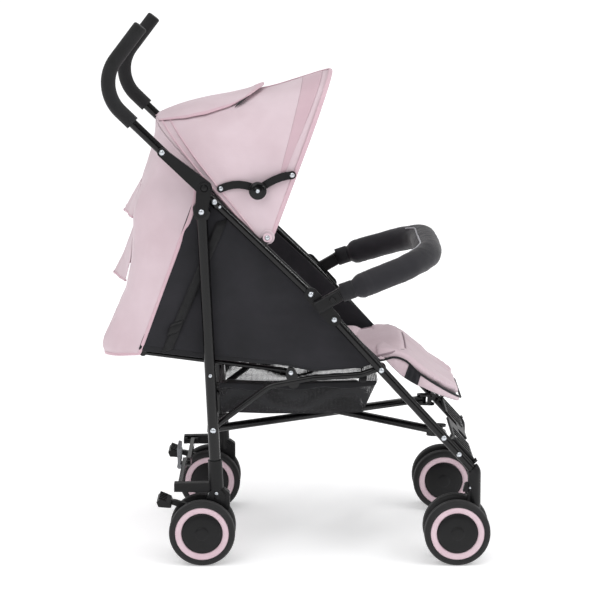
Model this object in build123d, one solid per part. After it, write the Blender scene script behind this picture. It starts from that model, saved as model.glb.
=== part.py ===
from build123d import *
import os
from math import acos, cos, radians, sin, tan

os.makedirs("parts", exist_ok=True)

# Baby stroller that folds like an umbrella. X forward, Y left, Z up, origin on the ground
# under the middle of the wheel base. Every piece of the right side is built at negative Y
# and mirrored to the left. Points are (x, z) in the side view.

clearance = 0.3                 # between pieces that turn on or lie against each other

# wheels and axles
wheel_radius = 65
wheel_width = 26
ring_radius = 52.5              # outer edge of the coloured ring
cap_radius = 39.5
axle_radius = 5
wheel_base = 500
side_y = 200                    # plane of the front tube and the rear leg
wheel_gap = 28                  # between the two wheels of one corner

# front tube
tube_radius = 9
lever_pivot = (-321, 811)
tube_bend = (-37, 536)
bar_pivot = (223, 250)          # where the X-bar yoke turns on the tube
caster_x = 284
grip_corner = (-448, 934)
grip_top = (-362, 1046)
grip_bend_radius = 75
grip_radius = 14

# rear leg and lever
leg_radius = 11
leg_top = (-247, 697)
leg_foot = (-221, 118)
lever_knee = (-241, 743)
rail_foot_z = 266               # where the side rail meets the leg
lever_thickness = 8

# side rail and recline arm
rail_radius = 6
rail_y = 181
rail_head_x = 100
rail_knees = [(-118, 349), (-33, 365), (60, 371)]
recline_pivot = (-76, 376)
recline_end = (-365, 414)
recline_y = 168
recline_radius = 5

# X-bars
bar_width = 20
bar_height = 14
bar_front_y = 168
bar_rear_y = 161
yoke_reach = 22

# canopy
canopy_pivot = (-121, 645)
canopy_y = 194                  # outer face of the fabric at the sides
cloth = 2.5                     # thickness of every cloth sheet
front_bow_angle = 67.3
rear_bow_angle = 136
stay_radius = 130               # both stay bolts, from the canopy pivot
stay_angles = (133.4, 68.4)
stay_knee = (-139, 737)
crown_power = 0.84              # under 1 squares the top of the arch

# bumper
bumper_y = 220
bumper_angle = 30
bumper_front_x = 197
bumper_pad_radius = 24
button_radius = 6
button_press = 2                # travel of the release button


def tube_point(x):
    # point of the front tube axis at a given x
    if x <= tube_bend[0]:
        slope = (tube_bend[1] - lever_pivot[1]) / (tube_bend[0] - lever_pivot[0])
    else:
        slope = (bar_pivot[1] - tube_bend[1]) / (bar_pivot[0] - tube_bend[0])
    return (x, tube_bend[1] + slope * (x - tube_bend[0]))


def leg_point(z):
    # point of the rear leg axis at a given height
    share = (z - leg_foot[1]) / (leg_top[1] - leg_foot[1])
    return (leg_foot[0] + share * (leg_top[0] - leg_foot[0]), z)


def at(point, y=-side_y):
    return Vector(point[0], y, point[1])


def bent_path(points, radii):
    # straight runs joined by tangent arcs
    edges = []
    start = points[0]
    for before, corner, after, radius in zip(points, points[1:], points[2:], radii):
        back = (before - corner).normalized()
        ahead = (after - corner).normalized()
        half = acos(back.dot(ahead)) / 2
        first = corner + back * (radius / tan(half))
        last = corner + ahead * (radius / tan(half))
        middle = corner + (back + ahead).normalized() * (radius / sin(half) - radius)
        edges.append(Edge.make_line(start, first))
        edges.append(Edge.make_three_point_arc(first, middle, last))
        start = last
    edges.append(Edge.make_line(start, points[-1]))
    return Wire(edges)


def rod(points, radii, radius):
    path = bent_path(points, radii)
    section = Plane(origin=points[0], z_dir=points[1] - points[0]) * Circle(radius)
    return sweep(section, path=path)


def rounded(points, radius):
    face = make_face(Polyline(*points, close=True))
    return fillet(face.vertices(), radius) if radius else face


def slab(face, low_y, high_y):
    # side view face between two Y planes
    return extrude(Plane.XZ.offset(-high_y) * face, amount=high_y - low_y)


def slab_x(face, low_x, high_x):
    # face drawn as (y, z) between two X planes
    return extrude(Plane.YZ.offset(low_x) * face, amount=high_x - low_x)


def link(first, second, radius, second_radius=None):
    # face that runs from one round end to the other
    ends = (Pos(*first) * Circle(radius)).edges() + (Pos(*second) * Circle(second_radius or radius)).edges()
    return make_hull(ends)


def peg(point, low_y, high_y, radius):
    return slab(Pos(*point) * Circle(radius), low_y, high_y)


def left(part):
    return mirror(part, about=Plane.XZ)


def save(part, name):
    part.label = name
    export_step(part, f"parts/{name}.step")


def save_pair(part, name):
    save(part, "right_" + name)
    save(left(part), "left_" + name)


rail_head = tube_point(rail_head_x)
rail_foot = leg_point(rail_foot_z)
caster_corner = tube_point(caster_x)
tube_drop = (Vector(*caster_corner) - Vector(*bar_pivot)).normalized()
tube_inner = side_y - tube_radius
leg_inner = side_y - leg_radius
leg_outer = side_y + leg_radius

# ---- front tube ----
tube_low = (caster_x, caster_corner[1] - 38)
tube_path = [at(grip_top), at(grip_corner), at(tube_bend), at(caster_corner), at(tube_low)]
front_tube = rod(tube_path, [grip_bend_radius, 400, 34], tube_radius)
bracket_reach = 26
canopy_foot = tube_point(canopy_pivot[0] - 14)
canopy_bracket = link(canopy_foot, canopy_pivot, 9, 8)
front_tube += slab(canopy_bracket, -side_y - 3, -side_y + 3)
front_tube += peg(canopy_pivot, -side_y, -canopy_y + cloth + clearance, 5)
collar_point = tube_point(-222)
collar_axis = Vector(*lever_pivot) - Vector(*collar_point)
collar = Plane(origin=at(collar_point), z_dir=(collar_axis.X, 0, collar_axis.Y))
front_tube += extrude(collar * Circle(tube_radius + 2), amount=11, both=True)

# footrest lugs on the inner side of the tube
footrest_y = 183
lug_starts = (16, 78.3)
lug_length = 4
foot_plane = Plane(origin=at(bar_pivot, 0), x_dir=(tube_drop.X, 0, tube_drop.Y), z_dir=(0, -1, 0))
for start in lug_starts:
    lug_face = Pos(start + lug_length / 2, 6) * Rectangle(lug_length, 22)
    lug = extrude(foot_plane.offset(footrest_y - 6) * lug_face, amount=tube_inner + 2 - footrest_y + 6)
    front_tube += lug
save_pair(front_tube, "front_tube")

# ---- foam grip with a closed end ----
grip_low = (lever_pivot[0] - 56, tube_point(lever_pivot[0] - 56)[1])
grip_end = Vector(*grip_top) + (Vector(*grip_top) - Vector(*grip_corner)).normalized() * 5
grip_path = [at((grip_end.X, grip_end.Y)), at(grip_corner), at(grip_low)]
grip = rod(grip_path, [grip_bend_radius], grip_radius)
grip = fillet(grip.edges().filter_by(GeomType.CIRCLE).sort_by(Axis.Z)[-1], 4)
bore_path = [at(grip_top), at(grip_corner), at((grip_low[0] + 20, tube_point(grip_low[0] + 20)[1]))]
grip -= rod(bore_path, [grip_bend_radius], tube_radius + clearance / 2)
save_pair(grip, "grip")

# ---- bumper socket, arm, button and pad ----
socket_start = (-26, 511)
lift = radians(bumper_angle)
arm_ahead = Vector(cos(lift), sin(lift))


def along_arm(distance):
    point = Vector(*socket_start) + arm_ahead * distance
    return (point.X, point.Y)


plate_low = tube_point(8)
bumper_plate = slab(link(tube_bend, plate_low, 13), -side_y - tube_radius - clearance - 4,
                    -side_y - tube_radius - clearance)
sleeve_length = 52
sleeve_plane = Plane(origin=at(socket_start, -bumper_y), x_dir=(0, 1, 0), z_dir=(cos(lift), 0, sin(lift)))
sleeve = extrude(sleeve_plane * RectangleRounded(19, 25, 5), amount=sleeve_length)
arm_hole = extrude(sleeve_plane.offset(4) * RectangleRounded(12.6, 16.6, 3), amount=sleeve_length)
button_point = along_arm(sleeve_length - 17)
button_hole = peg(button_point, -bumper_y - 20, -bumper_y - 4, button_radius + clearance)
bumper_socket = bumper_plate + sleeve - arm_hole - button_hole
save_pair(bumper_socket, "bumper_socket")

# the tongue is thinner than the sleeve on the outside, which leaves the button its travel
button_room = button_press + 0.8
tongue = Pos(button_room / 2, 0) * RectangleRounded(12 - button_room, 16, 2.7)
arm = extrude(sleeve_plane.offset(5) * tongue, amount=sleeve_length + 2)
collar_start = sleeve_length + clearance
arm += extrude(sleeve_plane.offset(collar_start) * RectangleRounded(20, 26, 6), amount=10)
save_pair(arm, "bumper_arm")
button = peg(button_point, -bumper_y - 12, -bumper_y - 6 - 2 * clearance, button_radius)
button = fillet(button.edges().sort_by(Axis.Y)[0], 1.5)
save_pair(button, "bumper_button")

pad_rise = radians(20.5)
pad_begin = along_arm(collar_start + 10 + clearance + 12.5 * sin(lift - pad_rise))
pad_corner = (bumper_front_x, pad_begin[1] + (bumper_front_x - pad_begin[0]) * tan(pad_rise))
pad_path = [at(pad_begin, -bumper_y), at(pad_corner, -bumper_y), at(pad_corner, bumper_y), at(pad_begin, bumper_y)]
bumper_pad = rod(pad_path, [95, 95], bumper_pad_radius)
bumper_pad = fillet(bumper_pad.edges().filter_by(GeomType.CIRCLE).group_by(Axis.X)[0], 5)
save(bumper_pad, "bumper_pad")

# ---- caster socket ----
socket_low = 112
socket = Pos(caster_x, -side_y, 0) * extrude(Plane.XY.offset(socket_low) * Circle(13), amount=70)
elbow_start = Vector(*caster_corner) - tube_drop * 6.5
elbow_path = [at((elbow_start.X, elbow_start.Y)), at(caster_corner), at((caster_x, socket_low + 10))]
socket += rod(elbow_path, [15], 13)
bore_start = elbow_start - tube_drop * 12
bore_path = [at((bore_start.X, bore_start.Y)), at(caster_corner), at(tube_low) - Vector(0, 0, 1)]
socket -= rod(bore_path, [34], tube_radius + clearance / 2)
stem_radius = 6
socket -= Pos(caster_x, -side_y, 0) * extrude(Plane.XY.offset(socket_low - 1) * Circle(stem_radius + clearance),
                                              amount=28)
lock_point = (caster_x - 17, caster_corner[1] - 30)
socket += slab(rounded([(lock_point[0] - 6, lock_point[1] - 12), (lock_point[0] + 5, lock_point[1] - 12),
                        (lock_point[0] + 5, lock_point[1] + 8), (lock_point[0] - 2, lock_point[1] + 4)], 2),
               -side_y - 5, -side_y + 5)
save_pair(socket, "caster_socket")

# ---- caster fork with its axle ----
front_axle = (wheel_base / 2, wheel_radius)
fork_half = wheel_gap / 2 - 1
fork_face = link(front_axle, (caster_x - 4, socket_low - 15), 15, 14)
fork = slab(fork_face, -side_y - fork_half, -side_y + fork_half)
fork += Pos(caster_x, -side_y, 0) * extrude(Plane.XY.offset(socket_low - 22) * Circle(13),
                                            amount=22 - clearance)
fork += Pos(caster_x, -side_y, 0) * extrude(Plane.XY.offset(socket_low - 5) * Circle(stem_radius), amount=30)
outer_reach = wheel_gap / 2 + wheel_width
fork += peg(front_axle, -side_y - outer_reach + 2, -side_y + outer_reach - 2, axle_radius)
save_pair(fork, "caster_fork")

# ---- wheel, axle along Y ----
half = wheel_width / 2
bore = axle_radius + clearance


def wheel_profile():
    # radius and axial position of one half, from the bore to the tread
    upper = [(bore, half - 1.6), (10, half - 0.6), (cap_radius - 3, half - 2.6), (cap_radius, half - 4.2),
             (cap_radius + 0.8, half - 5.6), (ring_radius, half - 4), (ring_radius + 0.8, half - 1.2),
             (wheel_radius - 7, half), (wheel_radius - 2, half - 4), (wheel_radius, half - 9)]
    lower = [(radius, -height) for radius, height in reversed(upper)]
    return make_face(Polyline(*(upper + lower), close=True))


wheel = revolve(wheel_profile(), Axis.Y)
# tread blocks: a groove around the tyre and cross cuts at its edges
groove = revolve(Pos(wheel_radius, 0) * Rectangle(2.4, 2.4), Axis.Y)
wheel -= groove


def wheel_at(point, inner):
    offset = (wheel_gap + wheel_width) / 2
    return Pos(point[0], -side_y + (offset if inner else -offset), point[1]) * wheel


rear_axle = (-wheel_base / 2, wheel_radius)
save_pair(wheel_at(rear_axle, False), "rear_outer_wheel")
save_pair(wheel_at(rear_axle, True), "rear_inner_wheel")
save_pair(wheel_at(front_axle, False), "front_outer_wheel")
save_pair(wheel_at(front_axle, True), "front_inner_wheel")

# ---- fold lever outside the tube ----
lever_in = -leg_outer - clearance
lever_face = link(lever_pivot, lever_knee, 9, 15) + link(lever_knee, leg_top, 15, 12)
lever = slab(lever_face, lever_in - lever_thickness, lever_in)
lever += peg(lever_pivot, lever_in, -side_y - tube_radius - clearance, 8)
lever += peg(lever_knee, lever_in - lever_thickness - 3, lever_in, 11)
lever -= peg(lever_knee, lever_in - lever_thickness - 4, lever_in - lever_thickness - 1, 7.5)
save_pair(lever, "lever")

# ---- rear leg: tube with a shield-shaped head ----
leg = rod([at(leg_top), at(leg_foot)], [], leg_radius)
head_face = rounded([(leg_top[0] - 1, leg_top[1] + 27), (leg_top[0] - 17, leg_top[1] + 9),
                     (leg_top[0] - 14, leg_top[1] - 16), (leg_top[0] + 12, leg_top[1] - 16),
                     (leg_top[0] + 17, leg_top[1] - 3)], 4)
leg += slab(head_face, -leg_outer, -leg_inner)
save_pair(leg, "rear_leg")

# ---- rear hub: socket of the leg, axle and spreader ears ----
hub_in = side_y - wheel_gap / 2 + 1
hub = slab(link(rear_axle, leg_point(132), 15, 17), -side_y - fork_half, -side_y + fork_half)
sleeve_top = 205
hub += rod([at(leg_point(sleeve_top)), at(leg_point(129))], [], leg_radius + 3)
hub += slab(rounded([(-206, 148), (-196, 140), (-196, 108), (-208, 100), (-222, 100), (-222, 148)], 4),
            -side_y - 9, -side_y + 9)
spreader_x = -290
spreader_z = 150
ear_gap = 8.3
ear_thickness = 7
lug_face = rounded([(leg_foot[0], spreader_z - 10), (spreader_x - ear_gap - ear_thickness, spreader_z - 8.5),
                    (spreader_x - ear_gap - ear_thickness, spreader_z + 8.5), (leg_foot[0], spreader_z + 10)], 0)
hub += slab(lug_face, -side_y - 6, -side_y + 10)
spreader_y = 180
for low_x in (spreader_x - ear_gap - ear_thickness, spreader_x + ear_gap):
    ear = link((-spreader_y, spreader_z), (-side_y + 4, spreader_z), 6.5)
    hub += slab_x(ear, low_x, low_x + ear_thickness)
hub += slab_x(Pos(-spreader_y, spreader_z) * Circle(3.5), spreader_x - ear_gap - 2, spreader_x + ear_gap + 2)
hub += peg(rear_axle, -side_y - outer_reach + 2, -side_y + outer_reach - 2, axle_radius)
hub -= rod([at(leg_point(sleeve_top + 1)), at(leg_foot)], [], leg_radius + clearance / 2)
brake_pivot = (-266, 106)
brake_half = 6
hub += slab(link(brake_pivot, (-250, 92), 9), -side_y - fork_half + 1, -side_y + fork_half - 1)
hub -= slab(link(brake_pivot, (-292, 112), 12), -side_y - brake_half - clearance, -side_y + brake_half + clearance)
hub += peg(brake_pivot, -side_y - brake_half - 2, -side_y + brake_half + 2, 3)
save_pair(hub, "rear_hub")

# ---- brake pedal ----
pad_inner_x = -309
pedal = slab(link(brake_pivot, (-304, 119), 7, 5), -side_y - brake_half, -side_y + brake_half)
pad_face = rounded([(pad_inner_x, 115), (pad_inner_x - 3, 125), (-331, 133), (-339, 127), (-335, 117)], 2)
pedal += slab(pad_face, -side_y - 29, -side_y + 29)
pedal += slab(link((-304, 119), (-320, 122), 5, 4), -side_y - brake_half, -side_y + brake_half)
pedal -= peg(brake_pivot, -side_y - 30, -side_y + 30, 3 + clearance)
for rib in range(-2, 3):
    pedal += Pos(-327, -side_y + rib * 11, 131) * Rot(0, 22, 0) * Box(15, 3, 4)
save_pair(pedal, "brake_pedal")

# ---- side rail ----
rail_points = [rail_foot] + rail_knees + [rail_head]
rail = rod([at(point, -rail_y) for point in rail_points], [45, 90, 60], rail_radius)
rail += peg(rail_foot, -leg_inner + clearance, -rail_y + 4, 11)
rail += peg(rail_head, -tube_inner + clearance, -rail_y + 4, 10)
rail += peg(rail_foot, -rail_y, -bar_rear_y - 3.5, 4)
recline_foot = (recline_pivot[0] + 5, recline_pivot[1] - 20)
rail += slab(link(recline_pivot, recline_foot, 10, 12), -rail_y - 3.7, -rail_y + 4)
rail += peg(recline_pivot, -rail_y, -recline_y, 3)
save_pair(rail, "side_rail")

# ---- recline arm ----
recline_in = -rail_y + 4 + clearance
arm_bar = rod([at(recline_pivot, -recline_y), at(recline_end, -recline_y)], [], recline_radius)
arm_bar += peg(recline_pivot, recline_in, -recline_y + 4, 8)
arm_bar += peg(recline_end, -recline_y - 6, -recline_y + 6, 7)
arm_bar -= peg(recline_pivot, -rail_y, -recline_y + 1, 3 + clearance)
save_pair(arm_bar, "recline_arm")

# ---- X-bars and their yokes, drawn in the plane of the bars ----
bar_run = Vector(*rail_foot) - Vector(*bar_pivot)
bar_ahead = bar_run.normalized()
bar_plane = Plane(origin=at(bar_pivot, 0), x_dir=(bar_ahead.X, 0, bar_ahead.Y),
                  z_dir=(bar_ahead.Y, 0, -bar_ahead.X))
# in this plane local x runs rearward and local y points to the right side
bar_end_x = bar_run.length


def x_bar(up):
    # the bar of the right yoke; up = 1 lies above the crossing, -1 below
    middle = up * (bar_height / 2 + clearance)
    ahead = Vector(bar_end_x - yoke_reach, -bar_rear_y - bar_front_y)
    direction = ahead.normalized()
    start = Vector(yoke_reach, bar_front_y)
    section = Plane(origin=(start.X, start.Y, middle), x_dir=(-direction.Y, direction.X, 0),
                    z_dir=(direction.X, direction.Y, 0))
    bar = extrude(section * RectangleRounded(bar_width, bar_height, 6.4), amount=ahead.length + 14)
    bar += Pos(start.X, start.Y, middle) * Cylinder(bar_width / 2, bar_height)
    bar &= Pos(bar_end_x / 2, -bar_rear_y - 6 + 200, 0) * Box(bar_end_x + 26, 400, 60)
    eye = Pos(bar_end_x, -bar_rear_y - 5, 0) * Rot(90, 0, 0) * Cylinder(13, 4)
    bar += eye
    bar -= Pos(bar_end_x, -bar_rear_y, 0) * Rot(90, 0, 0) * Cylinder(8, 30)
    bar -= Pos(start.X, start.Y, middle) * Cylinder(4 + clearance, bar_height + 2)
    return bar


def yoke(up):
    middle = up * (bar_height / 2 + clearance)
    reach = bar_height / 2 + clearance
    boss_end = bar_front_y - 7
    body = Pos(0, (tube_inner - clearance + boss_end) / 2, 0) * Rot(90, 0, 0) * Cylinder(
        8, tube_inner - clearance - boss_end)
    for side in (1, -1):
        face = link((4, bar_front_y), (yoke_reach, bar_front_y), 10)
        body += Pos(0, 0, middle + side * (reach + 2) - 2) * extrude(face, amount=4)
    body += Pos(5, bar_front_y, middle) * Box(9, 17, 2 * reach + 6)
    body += Pos(yoke_reach, bar_front_y, middle) * Cylinder(4, 2 * reach + 2)
    return body


save(bar_plane * x_bar(1), "right_x_bar")
save(left(bar_plane * x_bar(-1)), "left_x_bar")
save(bar_plane * yoke(1), "right_yoke")
save(left(bar_plane * yoke(-1)), "left_yoke")

# ---- spreader links and pedal ----
link_face = link((-spreader_y, spreader_z), (0, spreader_z), 7, 9) - Pos(-spreader_y, spreader_z) * Circle(
    3.5 + clearance)
save(slab_x(link_face, spreader_x - 8, spreader_x - clearance), "right_spreader_link")
save(left(slab_x(link_face, spreader_x + clearance, spreader_x + 8)), "left_spreader_link")
pedal_x = spreader_x - 8 - clearance - 5
foot_pedal = slab(Pos(pedal_x, spreader_z) * Circle(5), -40, -8)
foot_pedal += slab(rounded([(pedal_x - 3, spreader_z), (pedal_x + 2, spreader_z), (pedal_x + 2, spreader_z + 36),
                            (pedal_x - 5, spreader_z + 38)], 1), -40, 30)
save(foot_pedal, "spreader_pedal")

# ---- footrest halves: each turns on the lugs of its own tube ----
plate_n = 10                    # height of the plate over the tube axis
foot_start = lug_starts[0] + lug_length + clearance
foot_end = lug_starts[1] - clearance
foot_middle = (foot_start + foot_end) / 2
foot_plate_plane = Plane(origin=at(bar_pivot, 0), x_dir=(tube_drop.X, 0, tube_drop.Y),
                         z_dir=(-tube_drop.Y, 0, tube_drop.X)).offset(plate_n)
# local x runs down the tube, local y points to the left side


def footrest(upper):
    low = foot_start if upper else foot_middle + clearance
    high = foot_middle - clearance if upper else foot_end
    wide_y = 55
    wide = [(foot_start, -footrest_y), (foot_end, -footrest_y), (foot_end, -wide_y)]
    wide += [(high, -wide_y + 12), (high, 8), (low, 8), (low, -wide_y + 12), (foot_start, -wide_y)]
    points = []
    for point in wide:
        if point not in points:
            points.append(point)
    plate = extrude(make_face(Polyline(*points, close=True)), amount=2.5, both=True)
    plate += Pos((foot_start + foot_end) / 2, -footrest_y, 0) * Rot(0, 90, 0) * Cylinder(4.5, foot_end - foot_start)
    plate += Pos(foot_end - 2, -(footrest_y + wide_y) / 2 + 3, -9) * Box(4, footrest_y - wide_y - 8, 18)
    for rib in range(4):
        plate += Pos((foot_start + foot_end) / 2, -wide_y - 18 - rib * 26, 2.5) * Box(foot_end - foot_start - 12, 6, 3)
    return plate


save(foot_plate_plane * footrest(True), "right_footrest")
save(left(foot_plate_plane * footrest(False)), "left_footrest")


# ---- canopy ----
def polar(angle, radius, centre=canopy_pivot):
    return (centre[0] + radius * cos(radians(angle)), centre[1] + radius * sin(radians(angle)))


def arch_plane(angle):
    # local x to the left side, local y away from the pivot line
    return Plane(origin=at(canopy_pivot, 0), x_dir=(0, 1, 0),
                 z_dir=(sin(radians(angle)), 0, -cos(radians(angle))))


def arch_face(half_width, height, low):
    # an arched opening: straight sides, quarter ellipses and a crown
    shoulder = height * 0.42
    sides = Polyline((-half_width, shoulder), (-half_width, low), (half_width, low), (half_width, shoulder))
    points = []
    for step in range(9):
        turn = radians(180 * step / 8)
        across = abs(cos(turn)) ** crown_power * (1 if step < 4 else -1)
        points.append((half_width * across, shoulder + (height - shoulder) * sin(turn) ** crown_power))
    crown = Spline(*points, tangents=((0, 1), (0, -1)))
    return make_face(sides.edges() + crown.edges())


canopy_sections = [(front_bow_angle, 340), (84, 284), (110, 273), (rear_bow_angle, 312)]


def canopy_height(angle):
    # cubic through the four sections
    total = 0
    for own, height in canopy_sections:
        weight = 1
        for other, _ in canopy_sections:
            if other != own:
                weight *= (angle - other) / (own - other)
        total += weight * height
    return total



def canopy_body(shrink, low, first_shift=0, last_shift=0):
    faces = []
    for index, (angle, height) in enumerate(canopy_sections):
        if index == 0:
            angle += first_shift
        if index == len(canopy_sections) - 1:
            angle += last_shift
        faces.append(arch_plane(angle) * arch_face(canopy_y - shrink, height - shrink, low))
    return loft(faces)


canopy = canopy_body(0, 22) - canopy_body(cloth, 0, -2, 2)
save(canopy, "canopy_fabric")

# flap over the top of the canopy, open underneath
flap_sections = [(angle, canopy_height(angle) + 4) for angle in (94, 104, 118, 134)]
flap_outer = loft([arch_plane(angle) * arch_face(canopy_y + 2.8, height + 2, 22) for angle, height in flap_sections])
flap_inner = loft([arch_plane(angle) * arch_face(canopy_y + 0.8, canopy_height(angle) + 4, 0)
                   for angle in (92, 104, 118, 136)])
flap = flap_outer - flap_inner
flap &= Pos(canopy_pivot[0] - 90, 0, canopy_pivot[1] + 222) * Rot(0, -24, 0) * Box(500, 500, 150)
save(flap, "canopy_flap")


def bow(angle, height, low_height, band):
    # flat bow inside the fabric between two radii
    outer = arch_face(canopy_y - cloth - 0.8, height - cloth - clearance, 0)
    inner = arch_face(canopy_y - cloth - 0.8 - band, height - cloth - clearance - band, -1)
    face = outer - inner - Pos(0, low_height / 2 - 10) * Rectangle(2 * canopy_y, low_height + 20)
    return extrude(arch_plane(angle) * face, amount=5)


blade_top = 150
save(bow(front_bow_angle + 2, canopy_height(front_bow_angle + 3) - 6, blade_top + 7 + clearance, 4), "canopy_front_arch")
save(bow(rear_bow_angle - 3, canopy_height(rear_bow_angle - 3) - 11, 30, 4), "canopy_rear_bow")

blade_out = -canopy_y + cloth + 1
blade_end = polar(front_bow_angle + 2.6, blade_top)
blade = slab(link(canopy_pivot, blade_end, 9, 7) - Pos(*canopy_pivot) * Circle(4), blade_out, blade_out + 4)
save_pair(blade, "canopy_blade")

# stays: a rear arm from the tube side and a front arm from the bow, a knob at the knee
stay_rear = polar(stay_angles[0], stay_radius)
stay_front = polar(stay_angles[1], stay_radius)
stay_in = -canopy_y - 0.7


def stay_face(first, second, radius, bulge):
    points = []
    for step in range(7):
        share = step / 6
        rise = bulge * 4 * share * (1 - share)
        points.append((first[0] + (second[0] - first[0]) * share, first[1] + (second[1] - first[1]) * share + rise))
    face = link(points[0], points[1], radius)
    for start, end in zip(points[1:], points[2:]):
        face += link(start, end, radius)
    return face


rear_stay = slab(stay_face(stay_rear, stay_knee, 7.5, 9) + Pos(*stay_knee) * Circle(11), stay_in - 4, stay_in)
save_pair(rear_stay, "rear_stay")
front_stay = slab(stay_face(stay_front, stay_knee, 7.5, 6) + Pos(*stay_knee) * Circle(11), stay_in - 8, stay_in - 4.3)
front_stay += peg(stay_knee, stay_in - 15, stay_in - 6, 7)
front_stay += peg(stay_knee, stay_in - 21, stay_in - 12, 17)
front_stay = fillet(front_stay.edges().filter_by(GeomType.CIRCLE).group_by(Axis.Y)[0], 2)
front_stay += peg(stay_front, stay_in - 8, stay_in, 7.5)
save_pair(front_stay, "front_stay")

# ---- seat sling: floor and two side panels in one piece ----
panel_out = leg_inner - 0.5
panel_floor = [(-366, 424), (-244, 406), (-88, 391), (-33, 378), (60, 385), (84, 397)]
top_rear = tube_point(-244)
panel_top = [(100, 400), tube_bend, top_rear]
sling_face = make_face(Polyline(*(panel_floor + panel_top), close=True))
sling = slab(sling_face, -panel_out, panel_out)
inside = [(x - 2, z + cloth) for x, z in panel_floor[:1]] + [(x, z + cloth) for x, z in panel_floor[1:]]
inside = [(-420, inside[0][1] + 9)] + inside + [(140, 420), (140, 900), (-420, 900)]
sling -= slab(make_face(Polyline(*inside, close=True)), -panel_out + cloth, panel_out - cloth)
save(sling, "seat_sling")

# ---- seat pad on the floor of the sling ----
pad_lift = cloth + clearance + 0.2
pad_low = [(x, z + pad_lift) for x, z in panel_floor]
pad_face = make_face(Polyline(*([(-352, 422.5 + pad_lift)] + pad_low[1:5] + [(84, 398 + pad_lift), (82, 430),
                                (56, 424), (-40, 404), (-88, 412), (-244, 427), (-350, 445)]), close=True))
save(slab(pad_face, -165, 165), "seat_pad")

# ---- leg rest ----
rest_face = make_face(Polyline((84.5, 406), (97, 407), (107, 401), (115, 388), (144, 358), (172, 341), (232, 318),
                               (262, 304), (268, 312), (263, 328), (222, 352), (182, 378), (154, 404), (132, 417),
                               (106, 424), (84.5, 422), close=True))
save(fillet(slab(rest_face, -158, 158).edges().filter_by(Axis.Y).group_by(Axis.X)[-1], 3), "leg_rest")

# ---- rear curtain between the canopy and the end of the sling ----
curtain_out = leg_inner - 0.5
curtain_face = make_face(Polyline((-370.4, 414), (-440, 414), (-430, 452), (-392, 545), (-378, 660), (-376, 760),
                                  (-370, 815), (-357, 851), (-347, 859.5), (-330, tube_point(-330)[1] + 20),
                                  tube_point(-272), (-262.5, 690), close=True))
curtain = slab(curtain_face, -curtain_out, curtain_out)
hollow = make_face(Polyline((-330, 380), (-436, 380), (-427, 452), (-389, 545), (-375.3, 660), (-373.3, 760),
                            (-367.3, 814), (-354.5, 848), (-345, 856.5), (-336, 900), (-200, 900), (-200, 380), close=True))
curtain -= slab(hollow, -curtain_out + cloth, curtain_out - cloth)
curtain_cut = extrude(arch_plane(rear_bow_angle) * arch_face(canopy_y + 3, 314, -700), amount=700, both=True)
curtain &= curtain_cut
# two pocket flaps hang off the back wall: top edge on the wall, then the free tip
for wall_x, high, tip_x, low in ((-375.5, 736, -403, 680), (-377, 682, -421.5, 555)):
    flap_face = make_face(Polyline((wall_x, high), (wall_x, high - 13), (tip_x + 4, low - 1), (tip_x, low + 1),
                                   close=True))
    curtain += slab(flap_face, -118, 118)
save(curtain, "rear_curtain")

# ---- basket: open at the top, hung between the side rails ----
basket_half = 158
basket_face = make_face(Polyline((-214, 286), (66, 286), (96, 352), (96, 356), (-220, 350), close=True))
basket = slab(basket_face, -basket_half, basket_half)
basket_in = make_face(Polyline((-211.5, 288.5), (64.3, 288.5), (93.2, 352), (96, 380), (-220, 380), (-217.4, 350),
                               close=True))
basket -= slab(basket_in, -basket_half + 2.5, basket_half - 2.5)
# cloth loops from the rim to the side rails
rail_inner = rail_y - rail_radius
for low_x, low_z in ((-128, 338), (56, 349)):
    loop = rounded([(low_x, low_z), (low_x + 18, low_z), (low_x + 18, low_z + 24), (low_x, low_z + 20)], 2)
    for side in (-1, 1):
        middle = side * (basket_half + rail_inner - clearance - 1) / 2
        reach = (rail_inner - clearance - basket_half + 1) / 2
        basket += slab(loop, middle - reach, middle + reach)
save(basket, "basket")

# ---- harness: crotch strap, waist straps and shoulder straps over the pad ----
strap = 1.8
crotch = make_face(Polyline((-40, 404.6), (30, 419.2), (30, 421), (-40, 406.4), close=True))
harness = slab(crotch, -13, 13)
buckle = rounded([(-52, 408.5), (-10, 411.5), (-8, 420), (-50, 417)], 2)
harness += slab(buckle, -24, 24)
harness += Pos(-52, 0, 409.2) * Box(24, 300, strap)
shoulder = make_face(Polyline((-54, 409), (-88, 412.6), (-244, 427.6), (-244, 427.6 + strap),
                              (-88, 412.6 + strap), (-54, 409 + strap), close=True))
for side in (-1, 1):
    harness += slab(shoulder, side * 50 - 13, side * 50 + 13)
save(harness, "harness")
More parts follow.
